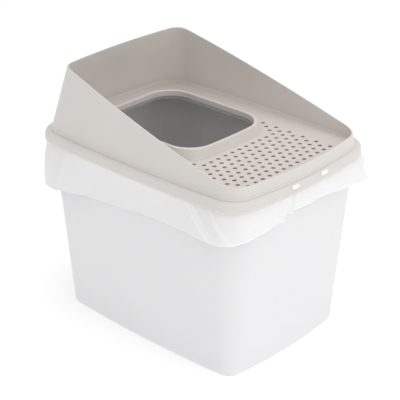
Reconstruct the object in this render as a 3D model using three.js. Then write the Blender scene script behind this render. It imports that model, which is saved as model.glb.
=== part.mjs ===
// Top-entry cat litter box: a deep tub lined with a film bag, a frame that clamps the bag on the rim,
// a perforated step deck with an entry collar, and a splash hood that is open at the front.
// Millimetres, +Z up, -Y is the low open front. The origin is the middle of the base.
import * as THREE from 'three';

// Tub: drafted side walls, so every outline grows with its height.
const TUB_HALF = { x: 154.2, y: 213.9, corner: 23 };
const TUB_DRAFT = { x: 0.0717, y: 0.093, corner: 0.0875 };
const TUB_BOW = { x: 8.9, y: 10.7 };
const TUB_WALL = 3;
const TUB_FLOOR = 3;
const TUB_FOOT_FILLET = 8;
const RIM_UNDER = 355.6;
const RIM_ROOT_DROP = 2;
const RIM_TOP = 361;
const RIM_EDGE = 1;
const RIM_INSET = 5;

// Liner bag: film drawn as a thin shell that lines the tub and folds over its rim as a cuff.
const FILM = 1;
const FILM_GAP = 0.4;
const CUFF_DROP = { middle: 67, perX: -0.045, perY: 0.065 };
const CUFF_FLARE = { x: 11, y: 7 };
const CUFF_SHIFT_X = 4;

// Frame band round the rim, measured at its lower edge.
const BAND_HALF = { x: 191.8, y: 247.9, corner: 41.3 };
const BAND_BOW = { x: 8.3, y: 19.1 };
const BAND_LOW = 354.7;
const BAND_INNER_EDGE = 1.5;
const BAND_PROFILE = [
  { inset: 2.2, z: 354.7 },
  { inset: 0.4, z: 357 },
  { inset: -0.6, z: 361 },
  { inset: -0.4, z: 366 },
  { inset: 1.6, z: 370.8 },
  { inset: 4.8, z: 374.4 },
  { inset: 7.4, z: 375.6 },
];
const SEAT_LEVEL = 371.7;
const SEAT_PLATE = 3;
const SEAT_INSET = 17;
const SKIRT_LOW = 340;
const SKIRT_GAP = 1.2;
const SKIRT_WALL = 3;
const SKIRT_ROOT_DROP = 2;
const POCKET_EDGE = { drop: 1, gap: 0.5 };

// Hood: walls that lean inwards with height, cut by one sloping plane between lip and back.
// It stands on the rim of the deck's plate, just clear of the frame's band.
const HOOD_HALF = { x: 178.5, y: 239.2, corner: 34 };
const HOOD_LEAN = { side: 0.18, front: 0.18, back: 0.25, corner: 0.08 };
const HOOD_BOW = { x: 8.3, front: 19.1, back: 19.1 };
const HOOD_BOW_FADE = 0.075;
const HOOD_WALL = 3;
const HOOD_BASE = 375.9;
const HOOD_WALL_ROWS = [0.35, 0.7, 1];
const HOOD_EDGE_DROP = 1.2;
const HOOD_FIT_PASSES = 6;
const SLOPE_AT_MIDDLE = 454.1;
const SLOPE = 0.258;
const LIP_TOP = 397.5;
const BACK_TOP = 504;

// Step deck: a flat plate with staggered round drain holes in front of the entry.
const DECK_TOP = 375.3;
const DECK_PLATE = 3;
const DECK_INSET = 0.2;
const HOLE_RADIUS = 4.1;
const HOLE_SIDES = 6;
const HOLE_PITCH = 19.1;
const ROW_PITCH = 16.27;
const FIRST_ROW_Y = -225.4;
const HOLE_ROWS = 12;
const HOLES_IN_LONG_ROW = 14;
const HOLE_MARGIN = 6;

// Entry collar: an inverted J section that stands on the deck round the entry, from its outer foot
// over the crest to the return's low edge and back down inside to the inner foot.
const COLLAR_FOOT = { x: 110, front: 78, back: 188, corner: 44 };
const COLLAR_CORNER_GROWTH = 0.3;
const COLLAR_BOW = { x: 2, y: 3 };
const COLLAR_LEDGE = 2;
const COLLAR_PROFILE = [
  { inset: 0, z: 375.6 },
  { inset: 4.5, z: 392.2 },
  { inset: 6.3, z: 394.5 },
  { inset: 7.75, z: 395.2 },
  { inset: 9.4, z: 394.5 },
  { inset: 10, z: 392.2 },
  { inset: 10, z: 383.5 },
  { inset: 8.2, z: 383.5 },
  { inset: 8, z: 390.7 },
  { inset: 6.1, z: 389.7 },
  { inset: 2.4, z: 375.6 },
];

// Front latches: two short spring tabs that lie on the band's shoulder, hinged at their lower edge.
const LATCH_MIDDLE_X = -3;
const LATCH_REACH = 40;
const LATCH_WIDTH = 19;
const LATCH_HEIGHT = 7.5;
const LATCH_THICKNESS = 2.2;
const LATCH_EDGE = 0.4;
const LATCH_CURVE_STEPS = 5;
const LATCH_INSET = 0.6;
const LATCH_Z = 371.4;
const LATCH_TILT = 0.56;

const FIT_GAP = 0.3;
const CORNER_STEPS = 7;
const SIDE_STEPS = 7;
const FOOT_STEPS = { outside: 3, inside: 2 };

const WARM_GREY = 0xd6cfca;
const TUB_WHITE = 0xf1f1f3;
const FILM_WHITE = 0xf7f7f7;
const MOULDED_ROUGHNESS = 0.4;
const FILM_ROUGHNESS = 0.3;

// A rounded rectangle whose four sides bow outwards, as x, y pairs going round anticlockwise.
function outline({ x, front, back, corner, bowX, bowFront, bowBack }) {
  const raw = [];
  for (let quarter = 0; quarter < 4; quarter += 1) {
    const centreX = quarter === 0 || quarter === 3 ? x - corner : corner - x;
    const centreY = quarter < 2 ? back - corner : corner - front;
    for (let step = 0; step <= CORNER_STEPS; step += 1) {
      const angle = ((quarter + step / CORNER_STEPS) * Math.PI) / 2;
      raw.push([centreX + corner * Math.cos(angle), centreY + corner * Math.sin(angle)]);
    }
  }
  const cornerPoints = CORNER_STEPS + 1;
  const points = [];
  raw.forEach(([px, py], index) => {
    points.push([px, py]);
    if ((index + 1) % cornerPoints !== 0) return;
    const [nextX, nextY] = raw[(index + 1) % raw.length];
    for (let step = 1; step < SIDE_STEPS; step += 1) {
      const t = step / SIDE_STEPS;
      points.push([px + (nextX - px) * t, py + (nextY - py) * t]);
    }
  });
  return points.map(([px, py]) => {
    const reachY = py < 0 ? front : back;
    const bowY = py < 0 ? bowFront : bowBack;
    const bulgeX = bowX * (1 - (py / reachY) ** 2) * (px / x) ** 2;
    const bulgeY = bowY * (1 - (px / x) ** 2) * (py / reachY) ** 2;
    return [px + Math.sign(px) * bulgeX, py + Math.sign(py) * bulgeY];
  });
}

// One ring of a loft. The height is a number, or a function of x and y for a sloping edge.
function ring(shape, height) {
  return outline(shape).map(([x, y]) => [x, y, typeof height === 'function' ? height(x, y) : height]);
}

function tubRing(inset, z, outlineZ = z) {
  const shape = {
    x: TUB_HALF.x + TUB_DRAFT.x * outlineZ - inset,
    front: TUB_HALF.y + TUB_DRAFT.y * outlineZ - inset,
    back: TUB_HALF.y + TUB_DRAFT.y * outlineZ - inset,
    corner: TUB_HALF.corner + TUB_DRAFT.corner * outlineZ - inset,
    bowX: TUB_BOW.x,
    bowFront: TUB_BOW.y,
    bowBack: TUB_BOW.y,
  };
  return ring(shape, z);
}

function bandRing(inset, z) {
  const shape = {
    x: BAND_HALF.x - inset,
    front: BAND_HALF.y - inset,
    back: BAND_HALF.y - inset,
    corner: BAND_HALF.corner - inset,
    bowX: BAND_BOW.x,
    bowFront: BAND_BOW.y,
    bowBack: BAND_BOW.y,
  };
  return ring(shape, z);
}

// The hood's outline at one height, moved inwards by an inset.
function hoodShape(z, inset) {
  const rise = z - DECK_TOP;
  return {
    x: HOOD_HALF.x - HOOD_LEAN.side * rise - inset,
    front: HOOD_HALF.y - HOOD_LEAN.front * rise - inset,
    back: HOOD_HALF.y - HOOD_LEAN.back * rise - inset,
    corner: HOOD_HALF.corner - HOOD_LEAN.corner * rise - inset,
    bowX: HOOD_BOW.x,
    bowFront: HOOD_BOW.front,
    bowBack: HOOD_BOW.back - HOOD_BOW_FADE * rise,
  };
}

// Joins rings of equal point count into one closed mesh: a loop of rings, or a stack with two end caps.
function loft(rings, isLoop) {
  const count = rings[0].length;
  const positions = rings.flat(2);
  const indices = [];
  const spans = isLoop ? rings.length : rings.length - 1;
  for (let row = 0; row < spans; row += 1) {
    const lower = row * count;
    const upper = ((row + 1) % rings.length) * count;
    for (let i = 0; i < count; i += 1) {
      const next = (i + 1) % count;
      indices.push(lower + i, lower + next, upper + next);
      indices.push(lower + i, upper + next, upper + i);
    }
  }
  if (!isLoop) {
    addCap(positions, indices, rings[0], 0, true);
    addCap(positions, indices, rings[rings.length - 1], (rings.length - 1) * count, false);
  }
  return facingOut(positions, indices);
}

function addCap(positions, indices, capRing, start, isFirst) {
  const centre = positions.length / 3;
  positions.push(0, 0, capRing[0][2]);
  capRing.forEach((point, i) => {
    const next = (i + 1) % capRing.length;
    if (isFirst) indices.push(start + next, start + i, centre);
    else indices.push(start + i, start + next, centre);
  });
}

// Builds the geometry and turns its triangles over if they enclose a negative volume.
function facingOut(positions, indices) {
  let volume = 0;
  const a = new THREE.Vector3();
  const b = new THREE.Vector3();
  const c = new THREE.Vector3();
  for (let i = 0; i < indices.length; i += 3) {
    a.fromArray(positions, indices[i] * 3);
    b.fromArray(positions, indices[i + 1] * 3);
    c.fromArray(positions, indices[i + 2] * 3);
    volume += a.dot(b.cross(c));
  }
  const geometry = new THREE.BufferGeometry();
  geometry.setAttribute('position', new THREE.Float32BufferAttribute(positions, 3));
  geometry.setIndex(volume < 0 ? indices.slice().reverse() : indices);
  geometry.computeVertexNormals();
  return geometry;
}

// Insets and heights of a quarter-round fillet at the foot of a wall.
function footFillet(radius, floorZ, steps) {
  const rows = [];
  for (let step = 0; step <= steps; step += 1) {
    const angle = (step / steps) * (Math.PI / 2);
    rows.push({ inset: radius * (1 - Math.sin(angle)), z: floorZ + radius * (1 - Math.cos(angle)) });
  }
  return rows;
}

function tubGeometry() {
  const outside = footFillet(TUB_FOOT_FILLET, 0, FOOT_STEPS.outside);
  const inside = footFillet(TUB_FOOT_FILLET - TUB_WALL, TUB_FLOOR, FOOT_STEPS.inside);
  const rings = [
    ...outside.map(({ inset, z }) => tubRing(inset, z)),
    tubRing(0, RIM_UNDER - RIM_ROOT_DROP),
    bandRing(RIM_INSET, RIM_UNDER),
    bandRing(RIM_INSET, RIM_TOP - RIM_EDGE),
    bandRing(RIM_INSET + RIM_EDGE, RIM_TOP),
    tubRing(TUB_WALL, RIM_TOP),
    ...inside.reverse().map(({ inset, z }) => tubRing(TUB_WALL + inset, z)),
  ];
  return loft(rings, false);
}

// Height of the cuff's hem: it hangs lowest at the back on the -X side.
function hemZ(x, y) {
  return BAND_LOW - CUFF_DROP.middle - CUFF_DROP.perX * x - CUFF_DROP.perY * y;
}

// The hem's ring, which stands a little off the tub and further off on the +X side.
function hemRing(inset) {
  const shape = {
    x: BAND_HALF.x + CUFF_FLARE.x - inset,
    front: BAND_HALF.y + CUFF_FLARE.y - inset,
    back: BAND_HALF.y + CUFF_FLARE.y - inset,
    corner: BAND_HALF.corner - inset,
    bowX: 0,
    bowFront: BAND_BOW.y / 2,
    bowBack: BAND_BOW.y / 2,
  };
  return ring(shape, hemZ).map(([x, y, z]) => [x + CUFF_SHIFT_X, y, z]);
}

function linerGeometry() {
  const near = TUB_WALL + FILM_GAP;
  const far = near + FILM;
  const nearFoot = footFillet(TUB_FOOT_FILLET - near, TUB_FLOOR + FILM_GAP, FOOT_STEPS.inside);
  const farFoot = footFillet(TUB_FOOT_FILLET - far, TUB_FLOOR + FILM_GAP + FILM, FOOT_STEPS.inside);
  const rimInner = RIM_INSET - FILM_GAP;
  const rimOuter = rimInner - FILM;
  const rings = [
    ...farFoot.map(({ inset, z }) => tubRing(far + inset, z)),
    tubRing(far, RIM_TOP + FILM_GAP + FILM),
    bandRing(rimOuter, RIM_TOP + FILM_GAP + FILM),
    bandRing(rimOuter, BAND_LOW),
    hemRing(rimOuter),
    hemRing(rimInner),
    bandRing(rimInner, BAND_LOW),
    bandRing(rimInner, RIM_TOP + FILM_GAP),
    tubRing(near, RIM_TOP + FILM_GAP),
    ...nearFoot.reverse().map(({ inset, z }) => tubRing(near + inset, z)),
  ];
  return loft(rings, false);
}

function frameGeometry() {
  const seatUnder = SEAT_LEVEL - SEAT_PLATE;
  const skirtOuter = TUB_WALL + FILM_GAP + FILM + SKIRT_GAP;
  const skirtInner = skirtOuter + SKIRT_WALL;
  const pocket = RIM_INSET - FILM_GAP - FILM - FIT_GAP;
  const pocketTop = RIM_TOP + FILM + FILM_GAP + FIT_GAP;
  const deckPocketTop = DECK_TOP - POCKET_EDGE.drop;
  const rings = [
    bandRing(pocket, BAND_LOW + BAND_INNER_EDGE),
    ...BAND_PROFILE.map(({ inset, z }) => bandRing(inset, z)),
    ring(hoodShape(deckPocketTop, -POCKET_EDGE.gap), deckPocketTop),
    ring(hoodShape(SEAT_LEVEL, -FIT_GAP), SEAT_LEVEL),
    tubRing(SEAT_INSET, SEAT_LEVEL, RIM_TOP),
    tubRing(SEAT_INSET, seatUnder, RIM_TOP),
    tubRing(skirtInner, seatUnder - SKIRT_ROOT_DROP, RIM_TOP),
    tubRing(skirtInner, SKIRT_LOW),
    tubRing(skirtOuter, SKIRT_LOW),
    tubRing(skirtOuter, pocketTop, RIM_TOP),
    bandRing(pocket, pocketTop),
  ];
  return loft(rings, true);
}

function hoodTopZ(x, y) {
  return Math.min(BACK_TOP, Math.max(LIP_TOP, SLOPE_AT_MIDDLE + SLOPE * y));
}

// A ring of the hood that follows the sloping top edge: each point takes the outline of its own height.
function slopedHoodRing(share, inset, drop) {
  return outline(hoodShape(HOOD_BASE, inset)).map(([startX, startY], i) => {
    let x = startX;
    let y = startY;
    let z = HOOD_BASE;
    for (let pass = 0; pass < HOOD_FIT_PASSES; pass += 1) {
      z = HOOD_BASE + share * (hoodTopZ(x, y) - drop - HOOD_BASE);
      [x, y] = outline(hoodShape(z, inset))[i];
    }
    return [x, y, z];
  });
}

function hoodGeometry() {
  const outside = HOOD_WALL_ROWS.map((share) => slopedHoodRing(share, 0, HOOD_EDGE_DROP));
  const inside = HOOD_WALL_ROWS.map((share) => slopedHoodRing(share, HOOD_WALL, HOOD_EDGE_DROP));
  const rings = [
    slopedHoodRing(0, 0, 0),
    ...outside,
    slopedHoodRing(1, HOOD_WALL / 2, 0),
    ...inside.reverse(),
    slopedHoodRing(0, HOOD_WALL, 0),
  ];
  return loft(rings, true);
}

function collarShape(inset) {
  return {
    x: COLLAR_FOOT.x - inset,
    front: COLLAR_FOOT.front - inset,
    back: COLLAR_FOOT.back - inset,
    corner: COLLAR_FOOT.corner + COLLAR_CORNER_GROWTH * inset,
    bowX: COLLAR_BOW.x,
    bowFront: COLLAR_BOW.y,
    bowBack: COLLAR_BOW.y,
  };
}

function collarGeometry() {
  return loft(COLLAR_PROFILE.map(({ inset, z }) => ring(collarShape(inset), z)), true);
}

// Distance test for the drain holes: true where a hole keeps clear of the collar's foot.
function isClearOfCollar(x, y) {
  const { x: halfX, front, back, corner } = COLLAR_FOOT;
  const coreX = Math.max(Math.abs(x) - (halfX - corner), 0);
  const middleY = (back - front) / 2;
  const coreY = Math.max(Math.abs(y - middleY) - ((back + front) / 2 - corner), 0);
  return Math.hypot(coreX, coreY) > corner + HOLE_MARGIN;
}

function holeCentres() {
  const centres = [];
  for (let row = 0; row < HOLE_ROWS; row += 1) {
    const isLong = row % 2 === 1;
    const holes = isLong ? HOLES_IN_LONG_ROW : HOLES_IN_LONG_ROW - 1;
    for (let i = 0; i < holes; i += 1) {
      const x = (i - (holes - 1) / 2) * HOLE_PITCH;
      const y = FIRST_ROW_Y + row * ROW_PITCH;
      if (isClearOfCollar(x, y)) centres.push([x, y]);
    }
  }
  return centres;
}

function deckGeometry() {
  const edge = outline(hoodShape(DECK_TOP, DECK_INSET));
  const shape = new THREE.Shape(edge.map(([x, y]) => new THREE.Vector2(x, y)));
  const entry = outline(collarShape(COLLAR_LEDGE)).map(([x, y]) => new THREE.Vector2(x, y));
  shape.holes.push(new THREE.Path(entry.reverse()));
  holeCentres().forEach(([x, y]) => {
    const rim = [];
    for (let side = 0; side < HOLE_SIDES; side += 1) {
      const angle = (-side / HOLE_SIDES) * Math.PI * 2;
      rim.push(new THREE.Vector2(x + HOLE_RADIUS * Math.cos(angle), y + HOLE_RADIUS * Math.sin(angle)));
    }
    shape.holes.push(new THREE.Path(rim));
  });
  const geometry = new THREE.ExtrudeGeometry(shape, { depth: DECK_PLATE, bevelEnabled: false });
  return geometry.translate(0, 0, DECK_TOP - DECK_PLATE);
}

// A latch tab: a rounded bar whose long edges run along X, standing just off the band.
function latchGeometry() {
  const bar = new THREE.Shape();
  const radius = LATCH_HEIGHT / 2;
  const reach = LATCH_WIDTH / 2 - radius;
  bar.absarc(reach, 0, radius, -Math.PI / 2, Math.PI / 2, false);
  bar.absarc(-reach, 0, radius, Math.PI / 2, (3 * Math.PI) / 2, false);
  const geometry = new THREE.ExtrudeGeometry(bar, {
    depth: LATCH_THICKNESS - 2 * LATCH_EDGE,
    bevelThickness: LATCH_EDGE,
    bevelSize: LATCH_EDGE,
    bevelOffset: -LATCH_EDGE,
    bevelSegments: 1,
    curveSegments: LATCH_CURVE_STEPS,
  });
  geometry.rotateX(Math.PI / 2);
  return geometry.translate(0, LATCH_THICKNESS / 2 - LATCH_EDGE, 0);
}

function part(name, geometry, color, roughness) {
  const mesh = new THREE.Mesh(geometry, new THREE.MeshStandardMaterial({ color, roughness, metalness: 0 }));
  mesh.name = name;
  return mesh;
}

// Where the band's front outline runs at one x, seen from above, and how steeply.
function bandFrontY(x) {
  return -(BAND_HALF.y - LATCH_INSET) - BAND_BOW.y * (1 - (x / BAND_HALF.x) ** 2);
}

function bandFrontSlope(x) {
  return (2 * BAND_BOW.y * x) / BAND_HALF.x ** 2;
}

function latch(name, side) {
  const mesh = part(name, latchGeometry(), WARM_GREY, MOULDED_ROUGHNESS);
  const x = LATCH_MIDDLE_X + side * LATCH_REACH;
  mesh.position.set(x, bandFrontY(x), LATCH_Z);
  mesh.rotation.set(-LATCH_TILT, 0, Math.atan(bandFrontSlope(x)), 'ZXY');
  return mesh;
}

const group = new THREE.Group();
group.add(
  part('tub', tubGeometry(), TUB_WHITE, MOULDED_ROUGHNESS),
  part('liner_bag', linerGeometry(), FILM_WHITE, FILM_ROUGHNESS),
  part('bag_frame', frameGeometry(), WARM_GREY, MOULDED_ROUGHNESS),
  part('step_deck', deckGeometry(), WARM_GREY, MOULDED_ROUGHNESS),
  part('entry_collar', collarGeometry(), WARM_GREY, MOULDED_ROUGHNESS),
  part('splash_hood', hoodGeometry(), WARM_GREY, MOULDED_ROUGHNESS),
  latch('front_latch_left', -1),
  latch('front_latch_right', 1),
);

export default group;
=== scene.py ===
"""Top-entry cat litter box: a deep white tub, a film liner bag clamped under a rim frame, a
perforated step deck with an entry collar, and a splash hood that is open at the front."""

import math

import bmesh
import bpy
import numpy as np
from mathutils import Matrix, Vector


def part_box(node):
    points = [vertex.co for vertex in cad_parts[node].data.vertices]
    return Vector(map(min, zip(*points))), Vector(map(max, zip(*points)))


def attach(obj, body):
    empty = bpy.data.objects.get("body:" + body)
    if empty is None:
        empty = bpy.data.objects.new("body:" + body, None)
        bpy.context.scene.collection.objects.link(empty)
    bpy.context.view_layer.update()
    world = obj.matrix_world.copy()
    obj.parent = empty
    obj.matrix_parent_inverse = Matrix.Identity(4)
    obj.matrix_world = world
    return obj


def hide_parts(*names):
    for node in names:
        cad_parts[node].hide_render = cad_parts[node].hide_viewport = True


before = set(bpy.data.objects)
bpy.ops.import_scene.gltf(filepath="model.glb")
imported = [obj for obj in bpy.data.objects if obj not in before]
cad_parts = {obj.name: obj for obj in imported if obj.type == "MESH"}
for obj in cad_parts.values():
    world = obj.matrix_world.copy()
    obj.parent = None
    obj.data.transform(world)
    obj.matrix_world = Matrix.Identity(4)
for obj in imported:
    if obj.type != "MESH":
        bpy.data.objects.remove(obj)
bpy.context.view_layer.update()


# ---- Camera --------------------------------------------------------------------------------
# A long lens set off the front left corner and looking down on the box. It aims near the middle
# of the box, which fills the square frame.
CAMERA_AZIMUTH = math.radians(-47.11)
CAMERA_ELEVATION = math.radians(26.43)
CAMERA_DISTANCE = 2.622
CAMERA_LENS = 121.75
CAMERA_AIM = Vector((0.0114, 0.0138, 0.2299))

towards_camera = Vector((
    math.sin(CAMERA_AZIMUTH) * math.cos(CAMERA_ELEVATION),
    -math.cos(CAMERA_AZIMUTH) * math.cos(CAMERA_ELEVATION),
    math.sin(CAMERA_ELEVATION),
))
camera = bpy.data.objects.new("camera", bpy.data.cameras.new("camera"))
camera.data.lens = CAMERA_LENS
camera.data.sensor_width = 36
camera.location = CAMERA_AIM + towards_camera * CAMERA_DISTANCE
camera.rotation_mode = "QUATERNION"
camera.rotation_quaternion = (-towards_camera).to_track_quat("-Z", "Y")
bpy.context.collection.objects.link(camera)
bpy.context.scene.camera = camera


# ---- Tub -----------------------------------------------------------------------------------
# The deep open tub is one injection moulding in white polypropylene, with drafted, slightly
# bowed walls 3 mm thick, a rounded foot and a rolled-out rim that carries everything above it.
# The pieces are drawn in millimetres, and MM turns a length into metres.
MM = 0.001
# Half sizes at the foot, what each gains per millimetre of height, and how far the sides bow.
TUB_FOOT = {"x": 154.2, "y": 213.9, "corner": 23.0}
TUB_DRAFT = {"x": 0.0717, "y": 0.093, "corner": 0.0875}
TUB_BOW = {"x": 8.9, "y": 10.7}
TUB_WALL = 3.0
TUB_FLOOR = 3.0
TUB_FOOT_RADIUS = 8.0
TUB_FLAT_INSET = 12.0
TUB_RIM_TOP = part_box("tub")[1].z / MM
TUB_RIM_INSET = 5.0
TUB_RIM_DEPTH = 5.4
TUB_NECK_DEPTH = 8.0


def outline(x, front, back, corner, bow_x, bow_front, bow_back, corner_steps=14, side_steps=22):
    """An anticlockwise rounded rectangle: half width x, reach to front and back, bows at mid-side."""
    runs = []
    for quarter in range(4):
        centre_x = (x - corner) if quarter in (0, 3) else (corner - x)
        centre_y = (back - corner) if quarter < 2 else (corner - front)
        turn = (quarter + np.linspace(0, 1, corner_steps + 1)) * math.pi / 2
        runs.append(np.column_stack((centre_x + corner * np.cos(turn), centre_y + corner * np.sin(turn))))
    loop = []
    for quarter, arc in enumerate(runs):
        share = np.linspace(0, 1, side_steps + 1)[1:-1, None]
        following = runs[(quarter + 1) % 4][0]
        loop += [arc, arc[-1] + (following - arc[-1]) * share]
    px, py = np.vstack(loop).T
    reach = np.where(py < 0, front, back)
    bow_y = np.where(py < 0, bow_front, bow_back)
    wide = px + np.sign(px) * bow_x * (1 - (py / reach) ** 2) * (px / x) ** 2
    deep = py + np.sign(py) * bow_y * (1 - (px / x) ** 2) * (py / reach) ** 2
    return np.column_stack((wide, deep))


def at_height(points, z):
    """Lifts an outline to a height, which may be one number or one for each point."""
    return np.column_stack((points, np.broadcast_to(z, len(points))))


def tub_ring(inset, z, outline_z=None, **steps):
    """The tub's outline at a height, moved inwards; outline_z takes it from another height."""
    at = z if outline_z is None else outline_z
    half_y = TUB_FOOT["y"] + TUB_DRAFT["y"] * at - inset
    points = outline(
        TUB_FOOT["x"] + TUB_DRAFT["x"] * at - inset, half_y, half_y,
        TUB_FOOT["corner"] + TUB_DRAFT["corner"] * at - inset,
        TUB_BOW["x"], TUB_BOW["y"], TUB_BOW["y"], **steps)
    return at_height(points, z)


# Half sizes and bows of the outline that the tub's rim and the frame's band share.
BAND_HALF = {"x": 191.8, "y": 247.9, "corner": 41.3}
BAND_BOW = {"x": 8.3, "y": 19.1}


def band_ring(inset, z, **steps):
    """The shared outline of rim and band, moved inwards by an inset."""
    half_y = BAND_HALF["y"] - inset
    points = outline(
        BAND_HALF["x"] - inset, half_y, half_y, BAND_HALF["corner"] - inset,
        BAND_BOW["x"], BAND_BOW["y"], BAND_BOW["y"], **steps)
    return at_height(points, z)


def soften(profile, steps=4):
    """Rings of a profile that lists (ring, radius), with its turn at each ring rounded."""
    rings = [ring for ring, _ in profile]
    soft = []
    for index, (ring, radius) in enumerate(profile):
        if radius == 0:
            soft.append(ring)
            continue
        ends = []
        for other in (rings[index - 1], rings[(index + 1) % len(rings)]):
            way = other - ring
            length = np.linalg.norm(way, axis=1, keepdims=True)
            # A round ends short of the middle of the way, so neighbours never cross.
            ends.append(ring + way / length * np.minimum(radius, 0.48 * length))
        for t in np.linspace(0, 1, steps + 1):
            soft.append((1 - t) ** 2 * ends[0] + 2 * t * (1 - t) * ring + t * t * ends[1])
    return soft


def wall_faces(count, rows, is_loop):
    """Faces between neighbouring rings of so many points; a loop joins the last ring to the first."""
    faces = []
    for row in range(rows if is_loop else rows - 1):
        low, high = row * count, (row + 1) % rows * count
        faces += [(low + i, low + (i + 1) % count, high + (i + 1) % count, high + i) for i in range(count)]
    return faces


def skin(name, rings, is_loop):
    """One closed mesh object over rings of equal point count."""
    count = len(rings[0])
    faces = wall_faces(count, len(rings), is_loop)
    if not is_loop:
        last = (len(rings) - 1) * count
        faces += [tuple(reversed(range(count))), tuple(range(last, last + count))]
    mesh = bpy.data.meshes.new(name)
    mesh.from_pydata((np.vstack(rings) * MM).tolist(), [], faces)
    return finish_mesh(name, mesh)


def finish_mesh(name, mesh, sharp_angle=40):
    """Turns the faces outwards, shades them smooth up to an angle, and links the mesh."""
    work = bmesh.new()
    work.from_mesh(mesh)
    bmesh.ops.recalc_face_normals(work, faces=work.faces)
    work.to_mesh(mesh)
    work.free()
    mesh.shade_smooth()
    mesh.set_sharp_from_angle(angle=math.radians(sharp_angle))
    piece = bpy.data.objects.new(name, mesh)
    bpy.context.collection.objects.link(piece)
    piece.modifiers.new("even_shading", "WEIGHTED_NORMAL").keep_sharp = True
    return piece


def linear(hex_colour):
    """An sRGB hex colour as linear red, green, blue and alpha."""
    shares = [int(hex_colour[i:i + 2], 16) / 255 for i in (1, 3, 5)]
    return [s / 12.92 if s <= 0.04045 else ((s + 0.055) / 1.055) ** 2.4 for s in shares] + [1.0]


def add_node(tree, kind, settings=None, links=None):
    """Adds one node. A setting is a socket's name or number, or a property; a link feeds a socket."""
    node = tree.nodes.new(kind)
    for key, value in (settings or {}).items():
        if isinstance(key, int) or key in node.inputs:
            node.inputs[key].default_value = value
        else:
            setattr(node, key, value)
    for key, source in (links or {}).items():
        tree.links.new(source, node.inputs[key])
    return node


# Injection-moulded polypropylene: the steel mould's fine spark texture gives a satin surface
# whose gloss wanders slightly, and the melt's flow leaves a barely visible cloud in the colour.
def moulded_polypropylene(name, colour, cloud_colour, roughness, grain=0.8):
    material = bpy.data.materials.new(name)
    material.use_nodes = True
    tree = material.node_tree
    shader = tree.nodes["Principled BSDF"]
    shader.inputs["IOR"].default_value = 1.49
    where = add_node(tree, "ShaderNodeTexCoord")
    flow = add_node(
        tree, "ShaderNodeTexNoise",
        {"Scale": 1 / (90 * MM), "Detail": 2.0, "Roughness": 0.5, "Distortion": 0.6},
        {"Vector": where.outputs["Object"]})
    tint = add_node(
        tree, "ShaderNodeMix",
        {"data_type": "RGBA", 6: linear(colour), 7: linear(cloud_colour)},
        {"Factor": flow.outputs["Fac"]})
    tree.links.new(tint.outputs[2], shader.inputs["Base Color"])
    gloss = add_node(
        tree, "ShaderNodeMapRange",
        {"From Min": 0.3, "From Max": 0.7, "To Min": roughness - 0.05, "To Max": roughness + 0.05},
        {"Value": flow.outputs["Fac"]})
    tree.links.new(gloss.outputs["Result"], shader.inputs["Roughness"])
    # The real spark texture is about 0.15 mm; it is drawn at the given grain so that it shows.
    spark = add_node(
        tree, "ShaderNodeTexNoise",
        {"Scale": 1 / (grain * MM), "Detail": 3.0, "Roughness": 0.65},
        {"Vector": where.outputs["Object"]})
    relief = add_node(
        tree, "ShaderNodeBump",
        {"Strength": 0.12, "Distance": 0.12 * MM},
        {"Height": spark.outputs["Fac"]})
    tree.links.new(relief.outputs["Normal"], shader.inputs["Normal"])
    return material


def let_light_through(material, share, colour):
    """Makes a thin wall of the material pass on part of the light that falls on its far side."""
    tree = material.node_tree
    glow = add_node(tree, "ShaderNodeBsdfTranslucent", {"Color": linear(colour)})
    both = add_node(
        tree, "ShaderNodeMixShader", {0: share},
        {1: tree.nodes["Principled BSDF"].outputs["BSDF"], 2: glow.outputs["BSDF"]})
    tree.links.new(both.outputs["Shader"], tree.nodes["Material Output"].inputs["Surface"])


def give(piece, material):
    """Dresses a piece in one material."""
    piece.data.materials.append(material)


tub_rings = soften([
    (tub_ring(TUB_FLAT_INSET, 0), 0),
    (tub_ring(0, 0), TUB_FOOT_RADIUS),
    (tub_ring(0, TUB_RIM_TOP - TUB_NECK_DEPTH), 2),
    (band_ring(TUB_RIM_INSET, TUB_RIM_TOP - TUB_RIM_DEPTH), 1),
    (band_ring(TUB_RIM_INSET, TUB_RIM_TOP), 1.6),
    (tub_ring(TUB_WALL, TUB_RIM_TOP), 1.2),
    (tub_ring(TUB_WALL, TUB_FLOOR), 6),
    (tub_ring(TUB_FLAT_INSET, TUB_FLOOR), 0),
])
tub = skin("tub_moulding", tub_rings, is_loop=False)
# Unfilled white polypropylene lets daylight in, so the box isn't dark inside.
white_plastic = moulded_polypropylene("white_moulded_polypropylene", "#f8f8fa", "#f5f5f7", 0.4)
let_light_through(white_plastic, 0.15, "#fffdf6")
give(tub, white_plastic)
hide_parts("tub")
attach(tub, "tub")


# ---- Rim frame -----------------------------------------------------------------------------
# The frame is a ring of warm grey polypropylene shaped like an upturned channel. Its rounded
# band clamps the bag on the tub's rim, and its inner seat carries the deck.
SEAT_LEVEL = 371.7
SEAT_INSET = 17.0
FRAME_WALL = 3.0
SKIRT_INSET = 5.6
ROOF_OVER_RIM = 1.7
BAND_LOW = 354.7
SKIRT_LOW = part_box("bag_frame")[0].z / MM
# The band from its inner lower edge, round its face, to its top: inset, height, radius.
BAND_SECTION = [
    (3.3, 1.7, 0.4), (2.4, 0.0, 0.6), (0.5, 1.8, 1.0), (-0.3, 4.3, 1.0), (-0.3, 8.4, 0.6), (0.4, 9.3, 0.6),
    (0.1, 10.3, 0.6), (0.3, 13.8, 2.0), (1.5, 17.0, 2.0), (3.1, 19.2, 1.2), (4.3, 20.4, 0.8),
    (5.3, 19.9, 0.6),
]
# The hood's half sizes at its foot, and what each loses per millimetre of height.
HOOD_HALF = {"x": 178.5, "y": 239.2, "corner": 34.0}
HOOD_LEAN = {"side": 0.18, "front": 0.18, "back": 0.25, "corner": 0.08}
HOOD_BOW_FADE = 0.075
DECK_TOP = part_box("step_deck")[1].z / MM


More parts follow.
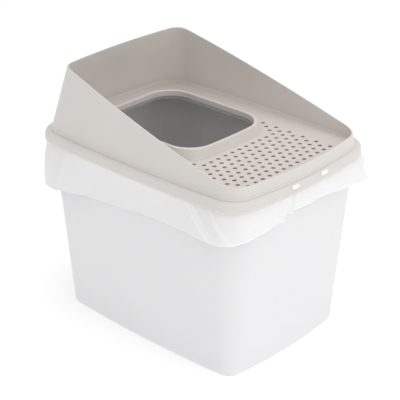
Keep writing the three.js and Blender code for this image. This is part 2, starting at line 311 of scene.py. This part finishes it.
def hood_outline(z, inset, **steps):
    """The hood's outline at one height: its walls lean inwards and the back bow fades upwards."""
    rise = z - DECK_TOP
    return outline(
        HOOD_HALF["x"] - HOOD_LEAN["side"] * rise - inset,
        HOOD_HALF["y"] - HOOD_LEAN["front"] * rise - inset,
        HOOD_HALF["y"] - HOOD_LEAN["back"] * rise - inset,
        HOOD_HALF["corner"] - HOOD_LEAN["corner"] * rise - inset,
        BAND_BOW["x"], BAND_BOW["y"], BAND_BOW["y"] - HOOD_BOW_FADE * rise, **steps)


warm_grey = moulded_polypropylene("warm_grey_moulded_polypropylene", "#e0dbd7", "#dbd6d2", 0.36)

frame_profile = [(band_ring(inset, BAND_LOW + height), radius) for inset, height, radius in BAND_SECTION]
frame_profile += [
    (at_height(hood_outline(DECK_TOP, -2.6), DECK_TOP - 0.15), 0.3),
    (at_height(hood_outline(DECK_TOP, -1.4), DECK_TOP - 0.1), 0.2),
    (at_height(hood_outline(DECK_TOP, -0.1), DECK_TOP - 0.1), 0.1),
    (at_height(hood_outline(DECK_TOP, -0.1), SEAT_LEVEL), 0.1),
    (tub_ring(SEAT_INSET, SEAT_LEVEL, TUB_RIM_TOP), 1),
    (tub_ring(SEAT_INSET, SEAT_LEVEL - FRAME_WALL, TUB_RIM_TOP), 1),
    (tub_ring(SKIRT_INSET + FRAME_WALL, SEAT_LEVEL - 5, TUB_RIM_TOP), 1),
    (tub_ring(SKIRT_INSET + FRAME_WALL, SKIRT_LOW), 1),
    (tub_ring(SKIRT_INSET, SKIRT_LOW), 1),
    (tub_ring(SKIRT_INSET, TUB_RIM_TOP + ROOF_OVER_RIM, TUB_RIM_TOP), 0.5),
    (band_ring(3.3, TUB_RIM_TOP + ROOF_OVER_RIM), 0.5),
]
rim_frame = skin("rim_frame_moulding", soften(frame_profile), is_loop=True)
give(rim_frame, warm_grey)
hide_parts("bag_frame")
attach(rim_frame, "frame")


# ---- Splash hood ---------------------------------------------------------------------------
# One warm grey moulding that wraps three sides and drops to a low lip in front. Its walls lean
# inwards under a rounded edge that slopes straight down on each side, and its foot, flared
# outside and coved inside, stands over the deck's edge.
HOOD_WALL = 3.0
HOOD_EDGE_RADIUS = 1.45
HOOD_LEVELS = 24
HOOD_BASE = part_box("splash_hood")[0].z / MM
BACK_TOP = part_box("splash_hood")[1].z / MM
LIP_TOP = 397.5
SLOPE_AT_MIDDLE = 454.1
SLOPE = 0.258
SLOPE_BLEND = 3.0
WALL_SHARES = [0.07, 0.3, 0.55, 0.8, 1.0]
FOOT_FLARE = 1.6
FOOT_COVE = 2.4
FOOT_DROP = 0.5
hood_steps = {"corner_steps": 18, "side_steps": 40}


def hood_edge(y):
    """Height of the hood's top edge over y: the slope, held between lip and back, eased at the bends."""
    slope = SLOPE_AT_MIDDLE + SLOPE * y
    above_lip = 0.5 * (LIP_TOP + slope + np.sqrt((slope - LIP_TOP) ** 2 + SLOPE_BLEND ** 2))
    return 0.5 * (BACK_TOP + above_lip - np.sqrt((BACK_TOP - above_lip) ** 2 + SLOPE_BLEND ** 2))


def hood_ring(share, inset):
    """A ring part of the way up the wall; each point takes the outline of its own height."""
    levels = np.linspace(HOOD_BASE, BACK_TOP, HOOD_LEVELS)
    stack = np.array([hood_outline(level, inset, **hood_steps) for level in levels])
    column = np.arange(stack.shape[1])
    z = np.full(len(column), HOOD_BASE)
    # The edge's height depends on where the leaning wall has got to, so the two are worked out
    # in turns until they agree.
    for _ in range(6):
        place = (z - HOOD_BASE) / (BACK_TOP - HOOD_BASE) * (HOOD_LEVELS - 1)
        low = np.clip(place.astype(int), 0, HOOD_LEVELS - 2)
        part = (place - low)[:, None]
        points = stack[low, column] * (1 - part) + stack[low + 1, column] * part
        z = HOOD_BASE + share * (hood_edge(points[:, 1]) - HOOD_BASE)
    return at_height(points, z)


def hood_wall(inset):
    """One face of the wall from its foot upwards, rounded at the edge."""
    return [(hood_ring(share, inset), HOOD_EDGE_RADIUS if share == 1 else 0) for share in WALL_SHARES]


def hood_foot(inset, rise):
    z = HOOD_BASE + rise
    return at_height(hood_outline(z, inset, **hood_steps), z)


hood_profile = hood_wall(0) + hood_wall(HOOD_WALL)[::-1] + [
    (hood_foot(HOOD_WALL, 3.2), 1.6),
    (hood_foot(HOOD_WALL + 0.5, 0.5), 1.4),
    (hood_foot(HOOD_WALL + FOOT_COVE, -FOOT_DROP), 0),
    (hood_foot(-FOOT_FLARE, -FOOT_DROP), 0.3),
    (hood_foot(-FOOT_FLARE, 0.5), 0.6),
    (hood_foot(0, 3.4), 1.6),
]
hood = skin("splash_hood_moulding", soften(hood_profile), is_loop=True)
give(hood, warm_grey)
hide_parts("splash_hood")
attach(hood, "hood")


# ---- Step deck -----------------------------------------------------------------------------
# A flat plate moulded in pinkish grey polypropylene. Its staggered round holes, each with a
# softened edge, let the litter fall back off the paws. It lies on the frame's seat, and its
# edge runs on under the hood's foot.
DECK_PLATE = 3.0
DECK_EDGE_RADIUS = 0.8
DECK_GAP = 0.2
HOLE_RADIUS = 4.1
HOLE_SIDES = 24
HOLE_PITCH = 19.1
ROW_PITCH = 16.27
FIRST_ROW_Y = -225.4
HOLE_ROWS = 12
LONG_ROW = 14
HOLE_MARGIN = 6.0
COLLAR_FOOT = {"x": 110.0, "front": 78.0, "back": 188.0, "corner": 44.0}
COLLAR_BOW = {"x": 2.0, "y": 3.0}
COLLAR_ON_DECK = 2.0


def collar_outline(inset, **steps):
    return outline(
        COLLAR_FOOT["x"] - inset, COLLAR_FOOT["front"] - inset, COLLAR_FOOT["back"] - inset,
        COLLAR_FOOT["corner"] + 0.3 * inset,
        COLLAR_BOW["x"], COLLAR_BOW["y"], COLLAR_BOW["y"], **steps)


def is_clear_of_collar(x, y):
    core_x = max(abs(x) - (COLLAR_FOOT["x"] - COLLAR_FOOT["corner"]), 0)
    middle = (COLLAR_FOOT["back"] - COLLAR_FOOT["front"]) / 2
    half = (COLLAR_FOOT["back"] + COLLAR_FOOT["front"]) / 2
    core_y = max(abs(y - middle) - (half - COLLAR_FOOT["corner"]), 0)
    return math.hypot(core_x, core_y) > COLLAR_FOOT["corner"] + HOLE_MARGIN


def hole_centres():
    centres = []
    for row in range(HOLE_ROWS):
        holes = LONG_ROW if row % 2 else LONG_ROW - 1
        for i in range(holes):
            x, y = (i - (holes - 1) / 2) * HOLE_PITCH, FIRST_ROW_Y + row * ROW_PITCH
            if is_clear_of_collar(x, y):
                centres.append((x, y))
    return centres


def pierced_plate(name, edge, openings, top, thickness, edge_radius):
    """A filled plate with openings, its edges rounded, as a mesh."""
    sheet = bpy.data.curves.new(name, "CURVE")
    sheet.dimensions = "2D"
    sheet.fill_mode = "BOTH"
    sheet.bevel_depth = edge_radius * MM
    sheet.bevel_resolution = 2
    sheet.offset = -edge_radius * MM
    sheet.extrude = (thickness / 2 - edge_radius) * MM
    for loop in [edge] + [np.flipud(opening) for opening in openings]:
        spline = sheet.splines.new("POLY")
        spline.points.add(len(loop) - 1)
        flat = np.column_stack((loop * MM, np.zeros(len(loop)), np.ones(len(loop))))
        spline.points.foreach_set("co", flat.ravel())
        spline.use_cyclic_u = True
    holder = bpy.data.objects.new(name, sheet)
    mesh = bpy.data.meshes.new_from_object(holder)
    bpy.data.objects.remove(holder)
    bpy.data.curves.remove(sheet)
    for vertex in mesh.vertices:
        vertex.co.z += (top - thickness / 2) * MM
    return mesh


turn = np.linspace(0, 2 * math.pi, HOLE_SIDES, endpoint=False)
round_hole = HOLE_RADIUS * np.column_stack((np.cos(turn), np.sin(turn)))
plate = pierced_plate(
    "step_deck_plate", hood_outline(DECK_TOP, DECK_GAP),
    [collar_outline(COLLAR_ON_DECK)] + [round_hole + centre for centre in hole_centres()],
    DECK_TOP, DECK_PLATE, DECK_EDGE_RADIUS)
deck = finish_mesh("step_deck_plate", plate)
pinkish_grey = moulded_polypropylene("pinkish_grey_moulded_polypropylene", "#ddd5d0", "#d8d0cb", 0.46)
give(deck, pinkish_grey)
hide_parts("step_deck")
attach(deck, "deck")


# ---- Entry collar --------------------------------------------------------------------------
# The collar is a ring of the same warm grey plastic, moulded with an inverted J section, and
# stands on the deck round the entry. It leans inwards, rolls over a rounded crest and turns
# down inside, so litter is knocked off on it.
COLLAR_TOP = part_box("entry_collar")[1].z / MM
COLLAR_RETURN_LOW = 383.5
COLLAR_LEAN = 5.5
COLLAR_CREST = 4.5
COLLAR_WALL = 2.4
COLLAR_RETURN_WALL = 1.8
COLLAR_GAP = 0.3
collar_steps = {"corner_steps": 18, "side_steps": 18}


def collar_ring(inset, z):
    return at_height(collar_outline(inset, **collar_steps), z)


collar_inner = COLLAR_LEAN + COLLAR_CREST
collar_profile = [
    (collar_ring(0, DECK_TOP + COLLAR_GAP), 0),
    (collar_ring(0.6, DECK_TOP + 1.2), 0.5),
    (collar_ring(COLLAR_LEAN, COLLAR_TOP), 3.2),
    (collar_ring(collar_inner, COLLAR_TOP), 2.2),
    (collar_ring(collar_inner, COLLAR_RETURN_LOW), 0.6),
    (collar_ring(collar_inner - COLLAR_RETURN_WALL, COLLAR_RETURN_LOW), 0.6),
    (collar_ring(collar_inner - 2.0, COLLAR_TOP - 5), 1),
    (collar_ring(COLLAR_LEAN + 0.8, COLLAR_TOP - 5.5), 1),
    (collar_ring(COLLAR_WALL, DECK_TOP + COLLAR_GAP), 0.4),
]
collar = skin("entry_collar_moulding", soften(collar_profile, steps=6), is_loop=True)
give(collar, warm_grey)
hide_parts("entry_collar")
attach(collar, "deck")


# ---- Liner bag -----------------------------------------------------------------------------
# A blown polyethylene bag lines the tub and is folded over the rim. The frame clamps it there,
# and the rest hangs outside as a cuff, smooth along the left side and creased at the front.
FILM = 0.5
FILM_OFF_TUB = 0.9
RIM_COVER = 0.7
CUFF_DROP = {"middle": 67.0, "per_x": -0.045, "per_y": 0.065}
CUFF_FLARE = {"x": 11.0, "y": 7.0}
CUFF_SHIFT_X = 4.0
CUFF_INSET = 4.1
CUFF_ROWS = 30
AIR_UNDER_CUFF = 2.5
HEM_OFF_TUB = 2.2
HEM_TUCK = {"height": 7.0, "reach": 3.5}
film_steps = {"corner_steps": 30, "side_steps": 150}


def hem_points():
    """The hem's outline: flared out from the band and shifted to the right."""
    half_y = BAND_HALF["y"] + CUFF_FLARE["y"] - CUFF_INSET
    points = outline(
        BAND_HALF["x"] + CUFF_FLARE["x"] - CUFF_INSET, half_y, half_y, BAND_HALF["corner"] - CUFF_INSET,
        0, BAND_BOW["y"] / 2, BAND_BOW["y"] / 2, **film_steps)
    return points + (CUFF_SHIFT_X, 0)


def length_along(points):
    """Distance round the cuff from the middle of the front left corner; positive along the front."""
    steps = np.linalg.norm(np.roll(points, -1, axis=0) - points, axis=1)
    distance = np.concatenate(([0], np.cumsum(steps)[:-1]))
    corner = np.argmin(points @ (1, 1))
    return (distance - distance[corner] + steps.sum() / 2) % steps.sum() - steps.sum() / 2


cuff_top = band_ring(CUFF_INSET, BAND_LOW, **film_steps)
free_hem = hem_points()
along = length_along(free_hem)
whole_way = along.max() - along.min()
straight_drop = (
    CUFF_DROP["middle"] + CUFF_DROP["per_x"] * free_hem[:, 0] + CUFF_DROP["per_y"] * free_hem[:, 1])

# The hem isn't cut true: beside straight_drop it hangs by so much more at each place along.
HEM_PLACES = [-450, -330, -200, -90, -40, 0, 40, 90, 118, 128, 170, 240, 300, 350, 390, 450]
HEM_EXTRA = [0, -3, -5, -1, 0, -1, -2, -3, -4, -14, -14, -10, 2, 10, 6, 0]
cuff_drop = straight_drop + np.interp(along, HEM_PLACES, HEM_EXTRA, period=whole_way)

# Each fold runs straight from a place at the band to a place at the hem: width, height outwards.
FOLDS = [
    (-96, -46, 9, 2.6), (-80, -26, 9, 1.0), (-62, -14, 8, -1.2), (-40, 0, 9, 2.6), (-18, 16, 8, -1.0),
    (0, 34, 10, 1.0), (34, 48, 14, 1.2), (64, 76, 16, 1.2), (92, 112, 8, -1.5), (108, 121, 6, 3.5),
    (130, 132, 5, -3.5), (144, 139, 5, 4.0), (164, 150, 8, -2.0), (205, 195, 12, 2.2), (290, 284, 14, 2.0),
    (344, 366, 9, 5.5), (366, 384, 8, -3.0), (384, 402, 9, 6.0), (-380, -392, 18, 1.2), (-415, -440, 12, 3.0),
]
# A fold rises gently on its left and falls off steeply on its right. It grows from nothing at
# the band to its full height before the middle of the drop.
STEEP_SIDE = 1.6
FOLD_GROWTH = 2.2
SMALL_FOLDS = 46
rng = np.random.default_rng(7)


def shallow_folds(amount):
    """Seeded small folds, spread evenly round the cuff and lower on the smooth left side."""
    folds = []
    for _ in range(amount):
        place = rng.uniform(along.min(), along.max())
        calm = 0.3 if -420 < place < -100 else 1.0
        height = calm * rng.uniform(0.4, 1.3) * rng.choice((-1, 1))
        folds.append((place, place + rng.normal(0, 22), rng.uniform(12, 30), height))
    return folds


def fold_relief(t):
    """How far the folds push the film outwards along the cuff, at a share t of its drop."""
    relief = np.zeros(len(along))
    for at_band, at_hem, width, height in FOLDS + small_folds:
        place = at_band + (at_hem - at_band) * t
        away = ((along - place + whole_way / 2) % whole_way - whole_way / 2) / width
        away = np.where(away > 0, away * STEEP_SIDE, -away)
        relief += height * min(1.0, FOLD_GROWTH * t) * np.exp(-away ** 1.4)
    return relief


small_folds = shallow_folds(SMALL_FOLDS)

# The mesh has one layer, so film that lies doubled is drawn whiter, and the same whiter colour
# paints highlights on the creases, along the front and at the tucked hem. These are the pinched
# creases: place at the band, place at the hem, width.
PINCHED_CREASE_HIGHLIGHTS = [(-97, -44, 6.5), (-86, -30, 3.0), (-42, -2, 6.0), (132, 130, 3.0), (352, 370, 4.0)]
# The hem is tucked inwards along the left part of the front, and half as much along the rest.
tuck_share = np.interp(along, [-60, 0, 160, 180, 330, 400], [0, 1, 1, 0.5, 0.5, 0])


def near_hem(t):
    """1 at the hem, falling to 0 where the tuck begins, at a share t of the cuff's drop."""
    return np.clip(1 - (1 - t) * cuff_drop / HEM_TUCK["height"], 0, 1)


def doubled_film_and_painted_highlight(t):
    """Share of whiter film round the cuff at a share t of its drop: doubled film, and painted highlight on
    creases, front and hem.
    """
    share = np.interp(along, [-60, 20, 330, 400], [0, 0.45, 0.45, 0])
    for at_band, at_hem, width in PINCHED_CREASE_HIGHLIGHTS:
        away = (along - at_band - (at_hem - at_band) * t) / width
        share = np.maximum(share, np.exp(-away ** 2))
    return np.maximum(share, np.minimum(1.0, 2 * tuck_share * near_hem(t)))


# Along the left side the film hangs close to the tub, and elsewhere air holds it off.
near_wall = np.interp(along, [-425, -380, -170, -70], [0, 1, 1, 0])
wall = tub_ring(-HEM_OFF_TUB, BAND_LOW - CUFF_DROP["middle"], **film_steps)[:, :2]
cuff_hem = free_hem * (1 - near_wall[:, None]) + wall * near_wall[:, None]
ahead = np.roll(free_hem, -1, axis=0) - np.roll(free_hem, 1, axis=0)
outwards = np.column_stack((ahead[:, 1], -ahead[:, 0]))
outwards /= np.linalg.norm(outwards, axis=1, keepdims=True)
cuff = []
for t in np.linspace(0, 1, CUFF_ROWS):
    path = cuff_top[:, :2] + (cuff_hem - cuff_top[:, :2]) * t ** 0.8
    air = AIR_UNDER_CUFF * math.sin(math.pi * t) * (1 - near_wall)
    tuck = tuck_share * HEM_TUCK["reach"] * near_hem(t) ** 2
    push = fold_relief(t) + air - tuck
    # However a fold runs, the film stays this far off the tub's wall.
    wall_here = tub_ring(-FILM_OFF_TUB, BAND_LOW - t * cuff_drop.min(), **film_steps)[:, :2]
    push = np.maximum(push, ((wall_here - path) * outwards).sum(axis=1))
    cuff.append(at_height(path + outwards * push[:, None], BAND_LOW - t * cuff_drop))

# Inside, the film follows the tub with shallow upright folds that only stand inwards.
LINING_ROWS = 10
LINING_FOLDS = 60
LINING_REACH = 7.0
LINING_LOW = 9.0
LINING_BELOW_SKIRT = 4.0
FILM_INSET = TUB_WALL + FILM_OFF_TUB
FILM_FLOOR = TUB_FLOOR + FILM_OFF_TUB
FLOOR_SHARES = (0.02, 0.35, 0.7, 0.9)
lining_folds = [
    (place, place + rng.normal(0, 30), rng.uniform(9, 24), rng.uniform(1.5, 6.0))
    for place in rng.uniform(along.min(), along.max(), LINING_FOLDS)]


def lining_ring(z):
    """The film inside the tub at a height; its folds are deepest half way up."""
    plain = tub_ring(FILM_INSET, z, **film_steps)
    share = (TUB_RIM_TOP - z) / TUB_RIM_TOP
    stand = np.zeros(len(along))
    for at_rim, at_foot, width, height in lining_folds:
        away = np.abs(along - (at_rim + (at_foot - at_rim) * share)) / width
        stand += height * math.sin(math.pi * share) ** 2 * np.exp(-away ** 1.6)
    stand = np.minimum(stand, LINING_REACH)
    return np.column_stack((plain[:, :2] - outwards * stand[:, None], plain[:, 2]))


# On the tub's floor the film's rings shrink towards the middle, where one face closes them.
floor_edge = tub_ring(FILM_INSET + 5, FILM_FLOOR, **film_steps)
bag_rings = [floor_edge * (share, share, 1) for share in FLOOR_SHARES]
bag_rings += [floor_edge, tub_ring(FILM_INSET + 1.4, FILM_FLOOR + 1.5, **film_steps)]
bag_rings += [lining_ring(z) for z in np.linspace(LINING_LOW, SKIRT_LOW - LINING_BELOW_SKIRT, LINING_ROWS)]
bag_rings += [
    tub_ring(FILM_INSET, TUB_RIM_TOP + RIM_COVER, **film_steps),
    band_ring(CUFF_INSET, TUB_RIM_TOP + RIM_COVER, **film_steps),
]
bag_rings += cuff
count = len(along)
faces = wall_faces(count, len(bag_rings), is_loop=False)
faces.append(tuple(reversed(range(count))))
film_mesh = bpy.data.meshes.new("liner_bag_film")
film_mesh.from_pydata((np.vstack(bag_rings) * MM).tolist(), [], faces)
film_mesh.shade_smooth()
# The attribute holds how much whiter the film is drawn: doubled film and painted highlight.
double = film_mesh.attributes.new("double_film_and_painted_highlight", "FLOAT", "POINT")
shares = [np.zeros(count)] * (len(bag_rings) - CUFF_ROWS)
shares += [doubled_film_and_painted_highlight(t) for t in np.linspace(0, 1, CUFF_ROWS)]
double.data.foreach_set("value", np.concatenate(shares).astype(np.float32))
bag = bpy.data.objects.new("liner_bag_film", film_mesh)
bpy.context.collection.objects.link(bag)
thickness = bag.modifiers.new("film_thickness", "SOLIDIFY")
thickness.thickness = FILM * MM
thickness.offset = 0


# Blown low-density polyethylene, pigmented milky white: it has a soft waxy gloss, handling
# leaves a net of shallow creases that glint, and light comes through it.
def blown_polyethylene_film(name):
    material = bpy.data.materials.new(name)
    material.use_nodes = True
    tree = material.node_tree
    shader = tree.nodes["Principled BSDF"]
    shader.inputs["IOR"].default_value = 1.51
    # Film marked as doubled or as painted highlight takes the whiter colour.
    double_film_and_painted_highlight = add_node(tree, "ShaderNodeAttribute", {"attribute_name": "double_film_and_painted_highlight"})
    milk = add_node(
        tree, "ShaderNodeMix",
        {"data_type": "RGBA", 6: linear("#f5f5f5"), 7: linear("#ffffff")},
        {"Factor": double_film_and_painted_highlight.outputs["Fac"]})
    tree.links.new(milk.outputs[2], shader.inputs["Base Color"])
    where = add_node(tree, "ShaderNodeTexCoord")
    bent = add_node(
        tree, "ShaderNodeTexNoise",
        {"Scale": 1 / (26 * MM), "Detail": 2.0},
        {"Vector": where.outputs["Object"]})
    astray = add_node(
        tree, "ShaderNodeVectorMath",
        {"operation": "MULTIPLY_ADD", 1: (0.02, 0.02, 0.02)},
        {0: bent.outputs["Color"], 2: where.outputs["Object"]})
    creases = add_node(
        tree, "ShaderNodeTexVoronoi",
        {"feature": "DISTANCE_TO_EDGE", "Scale": 1 / (34 * MM)},
        {"Vector": astray.outputs[0]})
    crinkle = add_node(
        tree, "ShaderNodeTexNoise",
        {"Scale": 1 / (24 * MM), "Detail": 2.0, "Roughness": 0.5},
        {"Vector": astray.outputs[0]})
    height = add_node(
        tree, "ShaderNodeMath",
        {"operation": "MULTIPLY_ADD", 1: 0.5},
        {0: creases.outputs["Distance"], 2: crinkle.outputs["Fac"]})
    relief = add_node(
        tree, "ShaderNodeBump",
        {"Strength": 0.4, "Distance": 2.4 * MM},
        {"Height": height.outputs["Value"]})
    tree.links.new(relief.outputs["Normal"], shader.inputs["Normal"])
    gloss = add_node(
        tree, "ShaderNodeMapRange",
        {"From Min": 0.3, "From Max": 0.7, "To Min": 0.28, "To Max": 0.4},
        {"Value": crinkle.outputs["Fac"]})
    tree.links.new(gloss.outputs["Result"], shader.inputs["Roughness"])
    let_light_through(material, 0.1, "#ffffff")
    return material


give(bag, blown_polyethylene_film("milky_blown_polyethylene_film"))
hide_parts("liner_bag")
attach(bag, "tub")


# ---- Front latches -------------------------------------------------------------------------
# Two short warm grey polypropylene tabs on the front of the band, moulded with polished faces.
# They are coloured nearly white, which paints the highlight they catch. Each flexes outwards on its own.
LATCH_HALF = {"width": 9.5, "thickness": 1.15, "height": 3.7}
LATCH_TILT = 0.56
TAB_TO_THE_LEFT = 2.5
TAB_OFF_BAND = 1.0


def latch_tab(name, node):
    """A ball squared off and flattened into a tab, leant back and turned along the bowed band."""
    low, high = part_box(node)
    centre = (low + high) / 2 - Vector((TAB_TO_THE_LEFT, TAB_OFF_BAND, 0)) * MM
    slope = 2 * BAND_BOW["y"] * centre.x / MM / BAND_HALF["x"] ** 2
    work = bmesh.new()
    bmesh.ops.create_uvsphere(work, u_segments=48, v_segments=24, radius=1.0)
    for vertex in work.verts:
        x, y, z = vertex.co
        in_plane = math.hypot(x, z) or 1.0
        reach = math.copysign(abs(x / in_plane) ** 0.5, x), math.copysign(abs(z / in_plane) ** 0.5, z)
        fill = in_plane ** 0.35
        vertex.co = Vector((
            LATCH_HALF["width"] * reach[0] * fill,
            LATCH_HALF["thickness"] * math.copysign(abs(y) ** 0.6, y),
            LATCH_HALF["height"] * reach[1] * fill)) * MM
    turn_out = Matrix.Rotation(math.atan(slope), 4, "Z") @ Matrix.Rotation(-LATCH_TILT, 4, "X")
    work.transform(Matrix.Translation(centre) @ turn_out)
    mesh = bpy.data.meshes.new(name)
    work.to_mesh(mesh)
    work.free()
    return finish_mesh(name, mesh, 60)


# The near-white colour is painted highlight, lighter than the tabs' own warm grey.
polished_tab_painted_highlight = moulded_polypropylene(
    "polished_polypropylene_painted_highlight", "#fdf8f4", "#f9f4f0", 0.2, grain=2.0)
for side in ("left", "right"):
    tab = latch_tab("latch_tab_" + side, "front_latch_" + side)
    give(tab, polished_tab_painted_highlight)
    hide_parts("front_latch_" + side)
    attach(tab, "latch_" + side)


# ---- Floor and light -----------------------------------------------------------------------
# A white table that gives off some light itself, one large soft box overhead, a weaker one in
# front and slightly to the left, and a white room that fills the shadows.
floor_mesh = bpy.data.meshes.new("studio_floor")
floor_mesh.from_pydata([(-6, -6, 0), (6, -6, 0), (6, 6, 0), (-6, 6, 0)], [], [(0, 1, 2, 3)])
floor = bpy.data.objects.new("studio_floor", floor_mesh)
bpy.context.collection.objects.link(floor)
floor_paint = bpy.data.materials.new("white_light_table")
floor_paint.use_nodes = True
floor_shader = floor_paint.node_tree.nodes["Principled BSDF"]
floor_shader.inputs["Base Color"].default_value = linear("#fafafa")
floor_shader.inputs["Roughness"].default_value = 0.9
floor_shader.inputs["Emission Color"].default_value = linear("#ffffff")
floor_shader.inputs["Emission Strength"].default_value = 0.25
floor_mesh.materials.append(floor_paint)

room = bpy.data.worlds.new("white_room")
room.use_nodes = True
room.node_tree.nodes["Background"].inputs["Color"].default_value = (1.0, 1.0, 1.0, 1.0)
room.node_tree.nodes["Background"].inputs["Strength"].default_value = 0.70
bpy.context.scene.world = room


def softbox(name, place, target, size, power):
    lamp = bpy.data.lights.new(name, "AREA")
    lamp.size = size
    lamp.energy = power
    holder = bpy.data.objects.new(name, lamp)
    holder.location = place
    holder.rotation_mode = "QUATERNION"
    holder.rotation_quaternion = (Vector(target) - Vector(place)).to_track_quat("-Z", "Y")
    bpy.context.collection.objects.link(holder)


softbox("overhead_box", place=(0.3, -0.5, 2.8), target=(0, 0, 0.3), size=2.4, power=22)
softbox("front_box", place=(-0.5, -3.0, 1.3), target=(0, 0, 0.25), size=2.2, power=10)
bpy.context.scene.view_settings.view_transform = "Standard"
